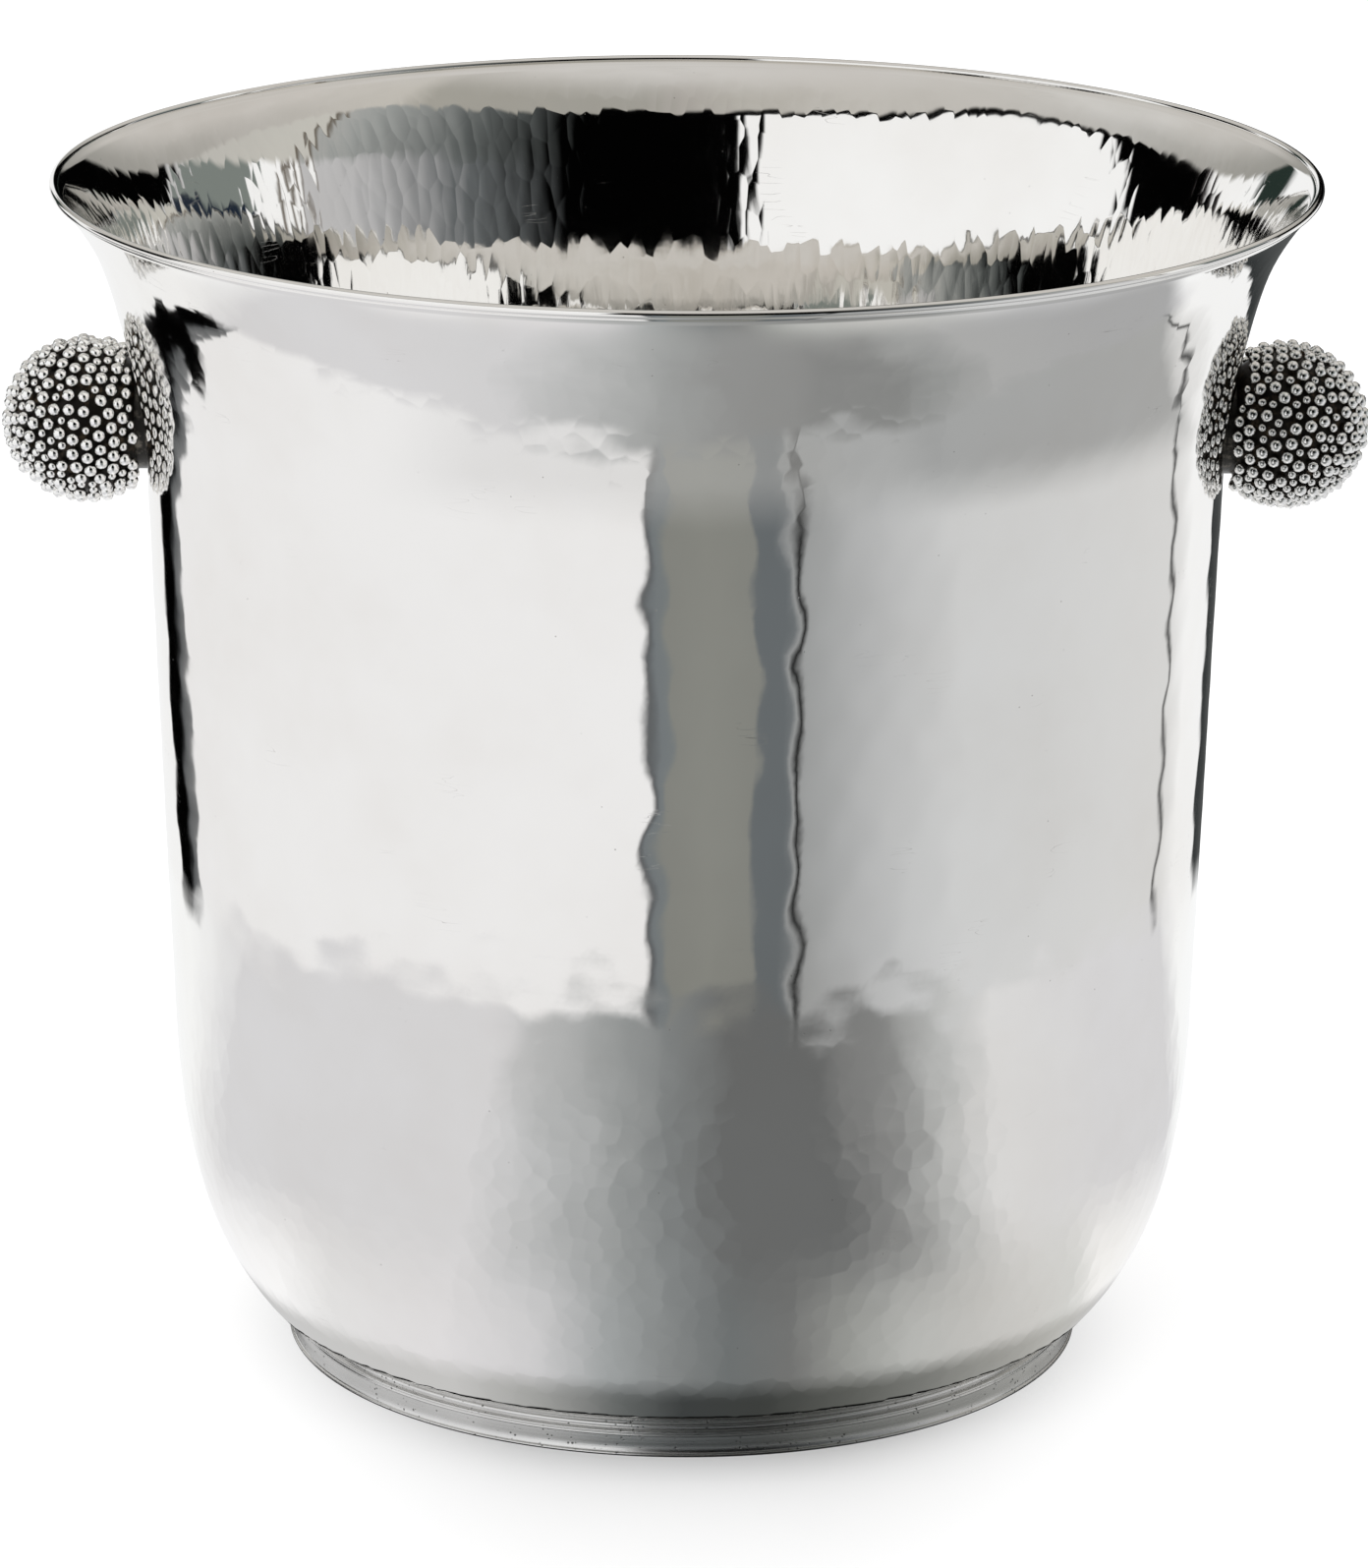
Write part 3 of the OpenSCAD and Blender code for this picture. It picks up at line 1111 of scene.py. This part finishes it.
@dataclass
class Knob:
    """One granulated ball and its fixing."""

    side: Side
    x: float = 109.3 * MM
    z: float = 173.3 * MM
    core_d: float = 26.8 * MM
    large_d: float = 2.4 * MM
    small_d: float = 1.7 * MM
    sink: float = 0.2 * MM
    count: int = 430
    large_share: float = 0.64
    large_reach: float = 0.098
    small_reach: float = 0.076
    scatter: float = 0.09
    rounds: int = 90
    mouth: float = 9.3 * MM
    gap: float = 0.12 * MM

    def __post_init__(self) -> None:
        """Works out the ball's centre."""
        self.centre = Vector((self.side.value * self.x, 0.0, self.z))

    @property
    def word(self) -> str:
        """The side's name in the CAD nodes.

        Returns:
            The name in small letters.
        """
        return self.side.name.lower()

    def _spread(self) -> tuple[np.ndarray, np.ndarray]:
        """Spreads granules of two sizes over the ball until none crowds another.

        Returns:
            Unit vectors from the centre, local +X away from the bucket, and True for each large one.
        """
        draw = np.random.default_rng(5 if self.side is Side.RIGHT else 9)
        i = np.arange(self.count)
        u = 1 - (2 * i + 1) / self.count
        turn = i * math.pi * (3 - math.sqrt(5))
        s = np.sqrt(1 - u * u)
        spots = np.stack([u, s * np.cos(turn), s * np.sin(turn)], 1)
        spots += draw.normal(0, self.scatter, (self.count, 3))
        large = draw.random(self.count) < self.large_share
        reach = np.where(large, self.large_reach, self.small_reach)
        need = reach[:, None] + reach[None, :]
        for _ in range(self.rounds):
            spots /= np.linalg.norm(spots, axis=1)[:, None]
            gap = spots[:, None] - spots[None, :]
            far = np.linalg.norm(gap, axis=2) + np.eye(self.count)
            push = np.clip(need - far, 0, None) / far * (1 - np.eye(self.count))
            spots = spots + 0.32 * (gap * push[:, :, None]).sum(1)
        return spots / np.linalg.norm(spots, axis=1)[:, None], large

    def _clear_of_wall(self, spots: np.ndarray, sizes: np.ndarray) -> np.ndarray:
        """Finds the granules that touch neither the wall nor the ball's mouth.

        Args:
            spots: unit vectors from the ball's centre, local +X away from the bucket.
            sizes: the granules' radii.

        Returns:
            True for each granule that fits.
        """
        outline = Bowl().outline(0.0)
        wall = outline[outline[:, 1] > 0.1]
        at = spots * (self.core_d / 2 + sizes - self.sink)[:, None]
        away = np.hypot(self.x + at[:, 0], at[:, 1]) - np.interp(self.z + at[:, 2], wall[:, 1], wall[:, 0])
        return (away - sizes * 1.06 > self.gap) & (at[:, 0] > -self.mouth)

    def _granules(self, name: str, spots: np.ndarray, diameter: float, seed: int) -> bpy.types.Object:
        """Copies one granule to every place and joins the copies.

        Args:
            name: the piece's name.
            spots: unit vectors from the ball's centre.
            diameter: the granules' diameter.
            seed: for their small differences.

        Returns:
            The granules as one object.
        """
        draw = np.random.default_rng(seed)
        Bench.clear()
        bpy.ops.mesh.primitive_ico_sphere_add(subdivisions=2, radius=1.0)
        first = bpy.context.object
        bpy.ops.object.mode_set(mode="EDIT")
        bpy.ops.mesh.select_all(action="SELECT")
        bpy.ops.mesh.tris_convert_to_quads(face_threshold=1.2, shape_threshold=1.2)
        bpy.ops.object.mode_set(mode="OBJECT")
        LOG.info("%s: %d faces a granule", name, len(first.data.polygons))
        copies = []
        for spot in spots:
            size = diameter / 2 * draw.uniform(0.95, 1.03)
            way = Vector((spot[0] * self.side.value, spot[1], spot[2]))
            reach = self.core_d / 2 + size - self.sink
            stand = way.to_track_quat("Z", "Y").to_matrix().to_4x4()
            turn = stand @ Matrix.Rotation(draw.uniform(0, 6.28), 4, "Z")
            wide, deep = size * draw.uniform(0.96, 1.04), size * draw.uniform(0.96, 1.04)
            shape = Matrix.Diagonal((wide, deep, size * 0.98, 1.0))
            copy = first.copy()
            copy.data = first.data.copy()
            copy.data.transform(Matrix.Translation(self.centre + way * reach) @ turn @ shape)
            bpy.context.collection.objects.link(copy)
            copies.append(copy)
        bpy.data.objects.remove(first)
        Bench.hold(copies[0])
        for copy in copies:
            copy.select_set(True)
        bpy.ops.object.join()
        obj = bpy.context.object
        obj.name = obj.data.name = name
        return obj

    def build(self) -> None:
        """Makes the granules and dresses them."""
        spots, large = self._spread()
        keep = self._clear_of_wall(spots, np.where(large, self.large_d, self.small_d) / 2)
        bright = Granule(f"granule_silver_{self.word}", centre=self.centre, core=self.core_d / 2).material()
        for size, wanted, diameter, seed in (
            ("large", large, self.large_d, 31),
            ("small", ~large, self.small_d, 32),
        ):
            obj = self._granules(f"{self.word}_beads_{size}", spots[keep & wanted], diameter, seed)
            Bench.place(obj, bright, [f"{self.word}_granules_{size}"], "granule_silver")


@dataclass
class KnobFinishes:
    """Finishes of the CAD pieces that stay as they are."""

    ball: Oxidised = Oxidised("oxidised_silver")
    collar: Oxidised = Oxidised("collar_silver", (0.03, 0.028, 0.025), (0.2, 0.18, 0.15), 0.3)
    fixing: Silver = Silver("fixing_silver", rough=0.16, smudge=0.1, ripple=0.01 * MM)

    def dress(self) -> None:
        """Gives each kept CAD node its finish."""
        dark, collar, plain = (finish.material() for finish in (self.ball, self.collar, self.fixing))
        for side in Side:
            word = side.name.lower()
            for node in ("core_outer", "core_inner"):
                Bench.dress(bpy.data.objects[f"{word}_{node}"], dark)
            Bench.dress(bpy.data.objects[f"{word}_collar"], collar)
            for node in ("stud", "washer", "nut"):
                Bench.dress(bpy.data.objects[f"{word}_{node}"], plain)
            LOG.info("%s knob: ball, collar, stud, washer and nut dressed", word)


# ------------------------------------------------------------------ the studio


@dataclass
class Studio:
    """Floor, backdrop, surroundings, light and camera."""

    distance: float = 1.351
    lift: float = math.radians(16.34)
    aim_z: float = 0.1043
    lens: float = 167.54
    roll: float = math.radians(0.271)
    card_z: float = 0.176

    BLACK, WHITE, SOFT, GREY = 0.0006, (0.93, 0.935, 0.94), (0.87, 0.87, 0.88), (0.235, 0.24, 0.222)
    SLATE, GAP, COOL = (0.135, 0.15, 0.16), (0.03, 0.034, 0.035), (0.31, 0.32, 0.325)
    GREEN, LINE, NOOK = (0.02, 0.032, 0.027), (0.13, 0.11, 0.085), (0.2, 0.225, 0.21)

    # tones round the bucket: degrees from the front, right positive, and what is seen there
    TABLE = (
        (-180, WHITE), (-152.6, WHITE), (-152, BLACK), (-143.6, BLACK), (-143, (0.09, 0.095, 0.1)),
        (-139, (0.2, 0.205, 0.21)), (-138.4, SOFT), (-7.5, SOFT), (-7.0, (0.05, 0.055, 0.06)),
        (-6.6, (0.17, 0.19, 0.205)), (-3.6, (0.19, 0.21, 0.215)), (-3.2, 0.1), (-2.9, GREY),
        (5, (0.25, 0.255, 0.235)), (14.5, GREY), (15.5, SLATE), (22.4, SLATE), (23.2, COOL), (25.0, COOL),
        (25.3, BLACK), (26.1, BLACK), (26.4, (0.34, 0.35, 0.355)), (40, (0.47, 0.48, 0.49)),
        (62, (0.64, 0.65, 0.66)), (128.9, 0.7), (129.3, 0.04), (130.2, 0.04), (130.6, 0.74), (140, WHITE),
        (156.4, WHITE), (157.2, GAP), (180, (0.14, 0.145, 0.145)),
    )
    LEFT = (
        (-180, GREEN), (-177.5, GREEN), (-176, WHITE), (-161, WHITE), (-159, GREEN), (-150, GREEN),
        (-148.5, WHITE), (-133, WHITE), (-131, (0.05, 0.045, 0.045)), (-128, BLACK), (-104, BLACK),
        (-102, WHITE), (-15, WHITE), (-12.5, BLACK),
    )
    HIGH = (
        *LEFT, (26, BLACK), (48, (0.10, 0.11, 0.11)), (78, (0.33, 0.345, 0.34)),
        (86.5, (0.40, 0.405, 0.395)), (87.6, LINE), (89.2, LINE), (90, (0.56, 0.55, 0.51)),
        (126, (0.5, 0.49, 0.46)), (128.3, WHITE), (129, BLACK), (180, BLACK),
    )
    DEEP = (
        *LEFT, (26, BLACK), (48, (0.12, 0.13, 0.135)), (76, (0.5, 0.5, 0.51)), (86.5, (0.54, 0.54, 0.55)),
        (87.4, LINE), (88.2, WHITE), (90.4, WHITE), (91, LINE), (92.6, LINE), (93.2, WHITE), (102.6, WHITE),
        (103.6, (0.012, 0.02, 0.035)), (125, (0.02, 0.026, 0.04)), (126.2, 0.6), (127.6, 0.6), (129, BLACK),
        (180, BLACK),
    )
    ROOF = (
        (-180, (0.56, 0.54, 0.51)), (-111, (0.64, 0.63, 0.61)), (-84, (0.58, 0.565, 0.54)),
        (-46, (0.56, 0.545, 0.515)), (-14, (0.48, 0.465, 0.43)), (-1, (0.42, 0.40, 0.375)),
        (14, (0.36, 0.35, 0.32)), (68, (0.38, 0.37, 0.335)), (78, (0.56, 0.54, 0.5)),
        (110, (0.60, 0.575, 0.545)), (180, (0.56, 0.54, 0.51)),
    )

    # the painted table reflection: painted contact shadow under the bowl, then close to it and further out
    PALE, DIM, MID, DARK = (0.96, 0.97, 0.975), (0.70, 0.70, 0.72), (0.33, 0.345, 0.35), (0.145, 0.15, 0.152)
    PAINTED_CONTACT_SHADOW = (
        (-180, 0.55), (-75, 0.60), (-35, 0.58), (-22, (0.38, 0.385, 0.38)), (-9, (0.13, 0.14, 0.14)),
        (0, (0.05, 0.055, 0.056)), (12, (0.05, 0.054, 0.052)), (25, (0.11, 0.115, 0.108)),
        (38, (0.2, 0.205, 0.195)), (70, (0.5, 0.5, 0.48)), (90, 0.6), (180, 0.55),
    )
    FRONT = (
        (-180, (0.9, 0.9, 0.91)), (-76, (0.97, 0.97, 0.98)), (-60, (0.80, 0.80, 0.81)),
        (-38, (0.77, 0.76, 0.78)), (-22, (0.65, 0.65, 0.67)), (-11, (0.37, 0.39, 0.40)),
        (-2, (0.245, 0.26, 0.265)), (7, (0.165, 0.18, 0.185)), (16, (0.185, 0.19, 0.19)),
        (25, (0.33, 0.34, 0.33)), (35, (0.49, 0.50, 0.49)), (49, (0.58, 0.58, 0.57)),
        (62, (0.66, 0.66, 0.65)), (72, (0.70, 0.71, 0.70)), (82, 0.97), (180, (0.9, 0.9, 0.91)),
    )
    FAR = (
        (-180, PALE), (-125, PALE), (-100, DIM), (-38, DIM), (-26, (0.52, 0.53, 0.54)), (-14, MID),
        (-3, (0.225, 0.24, 0.245)), (8, DARK), (26, DARK), (38, (0.26, 0.265, 0.265)),
        (50, (0.50, 0.51, 0.51)), (62, (0.73, 0.73, 0.735)), (90, DIM), (118, DIM), (130, PALE),
        (155, PALE), (166, (0.2, 0.21, 0.21)), (180, (0.2, 0.21, 0.21)),
    )

    # the glowing card under the lip: a painted grey reflection in the flare, darker to the right
    CARD_REACH = (0.1005, 0.128, 0.155)
    CARD = (
        (-180, (0.6, 0.6, 0.61)), (-20, (0.6, 0.6, 0.61)), (0, (0.56, 0.565, 0.56)),
        (13, (0.5, 0.505, 0.5)), (21, (0.3, 0.305, 0.3)), (29, (0.17, 0.178, 0.176)),
        (180, (0.17, 0.178, 0.176)),
    )

    def surroundings(self) -> None:
        """The studio that the silver reflects: table, screens and dark gaps by direction."""
        world = bpy.data.worlds.new("studio")
        bpy.context.scene.world = world
        world.use_nodes = True
        sh = Shader(world.node_tree)
        way = sh.out("ShaderNodeTexCoord", "Generated")
        x, y, z = sh.axes(way)
        turn = sh.turn(x, y)
        rise = z.maths("ARCSINE") * (180 / math.pi)
        lean = (rise + 16.0).maths("MINIMUM", 0.0) * turn.step(0.21, 0.17) * 0.00306
        blot = rise.step(8.5, 10.5) * turn.step(0.784, 0.788) * turn.step(0.853, 0.848)
        low, high = sh.ring(self.TABLE, turn + lean), sh.ring(self.HIGH, turn)
        middle = sh.mix(rise.step(20, 24), sh.mix(blot, sh.ring(self.DEEP, turn), self.NOOK), high)
        patch = rise.step(-24.6, -25.4) * rise.step(-29.2, -28.4)
        patch = patch * turn.step(0.1, 0.106) * turn.step(0.162, 0.156)
        colour = sh.mix(rise.step(-3, 1), sh.mix(patch, low, self.BLACK), middle)
        side = (turn - 0.5).maths("ABSOLUTE").step(0.2, 0.42)
        above = rise + side * 34.0
        trim = above.step(44.6, 45.2) * turn.step(0.5, 0.485) * turn.step(0.18, 0.2)
        ceiling = sh.mix(rise.step(52, 70), sh.ring(self.ROOF, turn), (0.62, 0.605, 0.585))
        ceiling = sh.mix(sh.noise(way, 5.0, 3.0, 0.55).step(0.4, 0.7) * 0.16, ceiling, (0.4, 0.38, 0.34))
        ceiling = sh.mix(side * above.step(60, 48) * 0.65, ceiling, (0.2, 0.2, 0.18))
        colour = sh.mix(above.step(46.6, 48.2), sh.mix(trim, colour, self.BLACK), ceiling)
        back = sh.out("ShaderNodeBackground", 0, None, {"Color": colour, "Strength": 1.0})
        sh.node("ShaderNodeOutputWorld", None, {"Surface": back})

    def _table_glow(self) -> bpy.types.Material:
        """A glowing disc that paints the table as the silver sees it, a painted reflection: light at the
        sides, grey in front, with painted shadow dark under the bowl.

        Returns:
            The glowing material, clear past its ragged edge.
        """
        made, sh = Shader.material("painted_table_reflection")
        turn, reach, _ = sh.around()
        ragged = (sh.noise(sh.place(), 9.0, 3.0, 0.5) - 0.5) * 0.05
        # painted reflection of the table, with painted shade darker in front: FAR further out, FRONT close to
        # the bowl
        shown = sh.mix(reach.step(0.170, 0.095), sh.ring(self.FAR, turn + ragged), sh.ring(self.FRONT, turn))
        # painted contact shadow: the reflected table goes dark under the bowl, darkest in front
        shown = sh.mix(reach.step(0.092, 0.082), shown, sh.ring(self.PAINTED_CONTACT_SHADOW, turn))
        # painted black shadow line where the foot meets the table
        shown = sh.mix(reach.step(0.0757, 0.0747), shown, 0.004)
        # the disc glows though it is no lamp, and only reflections see it
        sh.finish(sh.blend((reach + ragged).step(0.305, 0.335), sh.glow(shown), sh.clear()))
        return made

    def _card_tone(self) -> bpy.types.Material:
        """A glowing card held under the lip, in front of the bucket, that only reflections see: a painted
        reflection, darker to the right, that lays a thin tone over the flare.

        Returns:
            The material, clear where the card ends.
        """
        made, sh = Shader.material("painted_flare_reflection")
        turn, reach, _ = sh.around()
        front = turn.step(0.39, 0.44) * 0.38 + turn.step(0.56, 0.585) * 0.17
        share = front * turn.step(0.712, 0.694) * reach.step(0.101, 0.117) * reach.step(0.153, 0.14)
        # the card glows though it is no lamp: a painted reflection, seen only by the silver
        sh.finish(sh.blend(share, sh.clear(), sh.glow(sh.ring(self.CARD, turn))))
        return made

    def _pale_floor(self) -> bpy.types.Material:
        """A pale floor that catches the real contact shadow, with painted light: a glow that lifts the shadow
        everywhere and grows at the sides and away from the bucket until the floor is white.

        Returns:
            The material.
        """
        made, sh = Shader.material("pale_floor")
        _, reach, x = sh.around()
        matt = sh.out("ShaderNodeBsdfDiffuse", 0, None, {"Color": rgba((0.72, 0.72, 0.724))})
        # painted fill light: a steady glow mixed into the lit floor lightens its shadow
        lit_and_painted_fill = sh.blend(0.42, matt, sh.glow(1.0, 0.83))
        # painted light that grows at the sides and away from the bucket, fading the shadow to white
        share = x.maths("ABSOLUTE").step(0.02, 0.09) * 0.5 + reach.step(0.12, 0.3)
        sh.finish(sh.blend(share.maths("MINIMUM", 1.0), lit_and_painted_fill, sh.glow(1.0, 1.2)))
        return made

    def _backdrop(self) -> bpy.types.Material:
        """The plain white that the camera sees behind the bucket.

        Returns:
            The material.
        """
        made, sh = Shader.material("white_backdrop")
        sh.finish(sh.glow(1.0, 1.15))
        return made

    @staticmethod
    def _hide(obj: bpy.types.Object, *ways: str) -> None:
        """Hides a stage piece from the light, and from the rays named.

        Args:
            obj: the piece.
            ways: the other rays that don't see it.
        """
        for way in ("diffuse", "transmission", "volume_scatter", "shadow", *ways):
            setattr(obj, f"visible_{way}", False)

    def floor(self) -> None:
        """The floor, a white dome that only the camera sees, and the glowing table and card that paint
        reflections in the silver.
        """
        Bench.clear()
        bpy.ops.mesh.primitive_plane_add(size=11, location=(0, 0, -0.1 * MM))
        floor = bpy.context.object
        floor.name = "floor"
        Bench.dress(floor, self._pale_floor())
        floor.visible_glossy = False
        Bench.clear()
        # a glowing disc that only the silver sees: a painted reflection of the table and its shadow
        spot = (0, 0, 0.05 * MM)
        bpy.ops.mesh.primitive_circle_add(vertices=96, radius=0.36, fill_type="NGON", location=spot)
        table = bpy.context.object
        table.name = "painted_table_reflection"
        Bench.dress(table, self._table_glow())
        # a glowing card under the lip that paints a reflection into the flare
        card = Bench.spin("painted_flare_reflection", [(reach, self.card_z) for reach in self.CARD_REACH], 96, False)
        Bench.dress(card, self._card_tone())
        for obj in (table, card):
            self._hide(obj, "camera")
        Bench.clear()
        bpy.ops.mesh.primitive_uv_sphere_add(segments=48, ring_count=24, radius=6.5)
        dome = bpy.context.object
        dome.name = "backdrop"
        Bench.dress(dome, self._backdrop())
        self._hide(dome, "glossy")

    def lamps(self) -> None:
        """Two soft lamps that the silver doesn't show."""
        for name, place, size, power in (
            ("top_light", (0.0, -0.1, 1.7), 2.6, 62.0),
            ("front_light", (-0.5, -1.4, 1.3), 1.2, 9.0),
        ):
            lamp = bpy.data.lights.new(name, "AREA")
            lamp.shape, lamp.size, lamp.energy = "DISK", size, power
            obj = bpy.data.objects.new(name, lamp)
            obj.location = place
            obj.rotation_euler = (Vector((0, 0, 0.05)) - Vector(place)).to_track_quat("-Z", "Y").to_euler()
            obj.visible_camera = obj.visible_glossy = False
            bpy.context.collection.objects.link(obj)

    def camera(self) -> None:
        """The camera, level with the studio table and a little above it."""
        data = bpy.data.cameras.new("camera")
        data.lens, data.sensor_width, data.sensor_fit = self.lens, 36.0, "AUTO"
        data.clip_start, data.clip_end = 0.05, 60.0
        obj = bpy.data.objects.new("camera", data)
        bpy.context.collection.objects.link(obj)
        spot = (0.0, -self.distance * math.cos(self.lift), self.aim_z + self.distance * math.sin(self.lift))
        turn = Matrix.Rotation(math.pi / 2 - self.lift, 4, "X") @ Matrix.Rotation(self.roll, 4, "Z")
        obj.matrix_world = Matrix.Translation(spot) @ turn
        bpy.context.scene.camera = obj

    def build(self) -> None:
        """Sets up the whole studio."""
        self.surroundings()
        self.floor()
        self.lamps()
        self.camera()
        scene = bpy.context.scene
        scene.view_settings.view_transform = "Standard"
        scene.cycles.glossy_bounces = 12
        LOG.info("studio ready")


def main() -> None:
    """Builds every piece in order."""
    logging.basicConfig(level=logging.INFO, format="%(relativeCreated)d ms %(name)s: %(message)s")
    Studio().build()
    Bowl().build()
    RimWire().build()
    FootRing().build()
    for side in Side:
        Knob(side).build()
    KnobFinishes().dress()


if __name__ == "__main__":
    main()
